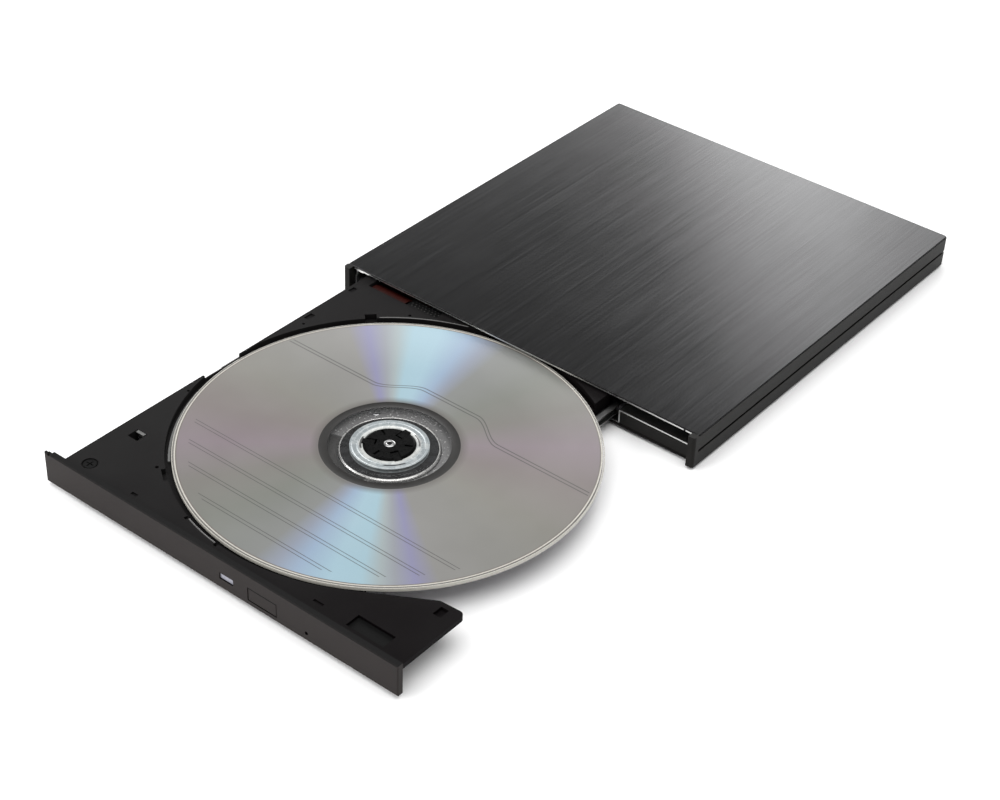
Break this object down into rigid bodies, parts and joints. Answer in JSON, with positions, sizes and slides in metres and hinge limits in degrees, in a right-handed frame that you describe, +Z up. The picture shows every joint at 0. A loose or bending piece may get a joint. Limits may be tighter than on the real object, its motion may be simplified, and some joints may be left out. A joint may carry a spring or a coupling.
{
  "type": "external optical drive",
  "caption": "Slim external optical disc drive with a brushed dark top, its tray open on telescopic rails and a blank disc on the hub.",
  "frame": {"origin": "bottom centre of the whole drive's bounding box with the tray open, on the table under the rubber feet", "axes": "+X to the right when facing the bezel, +Y to the back, +Z up"},
  "size_m": [0.1332, 0.2682, 0.0114],
  "materials": {
    "brushed_black": "brushed anodised",
    "case_plastic": "satin black",
    "feet_rubber": "matte",
    "drive_steel": "zinc plated sheet",
    "dark_steel": "satin black",
    "tray_plastic": "fine texture",
    "bezel_plastic": "fine texture, dark grey",
    "window_plastic": "milky",
    "nylon": "smooth",
    "board_black": "solder mask",
    "board_green": "solder mask",
    "chip": "moulded",
    "flex": "amber film",
    "screw_steel": "plated",
    "copper": "enamelled wire on steel",
    "hub_plastic": "smooth black",
    "pad_rubber": "matte",
    "disc_silver": "silver print over a mirror layer",
    "magnesium": "cast",
    "lens_glass": "clear"
  },
  "bodies": {
    "case": {"top_plate": "brushed_black", "side_frame": "case_plastic", "bottom_plate": "case_plastic", "rubber_feet": "feet_rubber", "case_screws": "screw_steel", "bridge_board": "board_green", "bridge_chips": "chip", "usb_port": "drive_steel", "drive_plug": "nylon", "rear_bracket": "drive_steel", "bracket_screws": "screw_steel", "drive_cover": "drive_steel", "drive_chassis": "drive_steel", "rail_guide_left": "nylon", "rail_guide_right": "nylon", "drive_board": "board_green", "drive_chips": "chip", "floor_flex": "flex", "latch_pin": "screw_steel", "eject_pusher": "nylon"},
    "left_rail": {"rail_left": "drive_steel"},
    "right_rail": {"rail_right": "drive_steel"},
    "tray_unit": {"tray": "tray_plastic", "bezel": "bezel_plastic", "led_window": "window_plastic", "tray_cover": "drive_steel", "tray_cover_screws": "screw_steel", "tray_screw": "dark_steel", "deck_clip": "drive_steel", "wing_pad": "pad_rubber", "tray_board": "board_black", "tray_flex": "flex", "latch_solenoid": "copper", "lever_post": "screw_steel", "button_board": "board_green", "tact_switch": "drive_steel", "status_lamp": "window_plastic", "mech_frame": "dark_steel", "spindle_base": "drive_steel", "stator_coils": "copper", "guide_rods": "screw_steel", "sled_motor": "drive_steel"},
    "button": {"eject_button": "bezel_plastic"},
    "latch": {"latch_lever": "nylon"},
    "spindle": {"rotor_bell": "drive_steel", "spindle_shaft": "screw_steel", "turntable": "hub_plastic", "turntable_pad": "pad_rubber", "hub_cap": "hub_plastic", "disc": "disc_silver"},
    "claw_back": {"hub_claw_back": "hub_plastic"},
    "claw_left": {"hub_claw_left": "hub_plastic"},
    "claw_right": {"hub_claw_right": "hub_plastic"},
    "pickup": {"pickup_sled": "magnesium", "laser_module": "chip", "sled_nut": "nylon"},
    "lens": {"lens_holder": "nylon", "objective_lens": "lens_glass"},
    "screw": {"lead_screw": "screw_steel"}
  },
  "joints": [
    {"name": "tray_slide", "type": "slide", "parent": "case", "child": "tray_unit", "axis": [0, 1, 0], "range_m": [0, 0.12325]},
    {"name": "left_rail_slide", "type": "slide", "parent": "case", "child": "left_rail", "axis": [0, 1, 0], "range_m": [0, 0.0617]},
    {"name": "right_rail_slide", "type": "slide", "parent": "case", "child": "right_rail", "axis": [0, 1, 0], "range_m": [0, 0.0617]},
    {"name": "eject_press", "type": "slide", "parent": "tray_unit", "child": "button", "axis": [0, 1, 0], "range_m": [0, 0.0006], "stiffness_N_per_m": 400},
    {"name": "latch_release", "type": "hinge", "parent": "tray_unit", "child": "latch", "pos_m": [0.0526, -0.12622, 0.0072], "axis": [0, 0, 1], "range_deg": [-6, 0]},
    {"name": "disc_spin", "type": "hinge", "parent": "tray_unit", "child": "spindle", "pos_m": [0.0025, -0.06742, 0.0088], "axis": [0, 0, 1], "continuous": true},
    {"name": "claw_back_slide", "type": "slide", "parent": "spindle", "child": "claw_back", "axis": [0, -1, 0], "range_m": [0, 0.0005], "stiffness_N_per_m": 150},
    {"name": "claw_left_slide", "type": "slide", "parent": "spindle", "child": "claw_left", "axis": [0.866, 0.5, 0], "range_m": [0, 0.0005], "stiffness_N_per_m": 150},
    {"name": "claw_right_slide", "type": "slide", "parent": "spindle", "child": "claw_right", "axis": [-0.866, 0.5, 0], "range_m": [0, 0.0005], "stiffness_N_per_m": 150},
    {"name": "pickup_slide", "type": "slide", "parent": "tray_unit", "child": "pickup", "axis": [-0.7071, -0.7071, 0], "range_m": [0, 0.032]},
    {"name": "lens_focus", "type": "slide", "parent": "pickup", "child": "lens", "axis": [0, 0, 1], "range_m": [-0.00025, 0.00025], "stiffness_N_per_m": 40},
    {"name": "screw_turn", "type": "hinge", "parent": "tray_unit", "child": "screw", "pos_m": [-0.01094, -0.11055, 0.0055], "axis": [-0.7071, -0.7071, 0], "continuous": true}
  ],
  "couplings": [
    {"joint": "left_rail_slide", "follows": "tray_slide", "ratio": 0.5},
    {"joint": "right_rail_slide", "follows": "tray_slide", "ratio": 0.5},
    {"joint": "claw_left_slide", "follows": "claw_back_slide", "ratio": 1},
    {"joint": "claw_right_slide", "follows": "claw_back_slide", "ratio": 1},
    {"joint": "screw_turn", "follows": "pickup_slide", "rad_per_m": 2094.4}
  ]
}
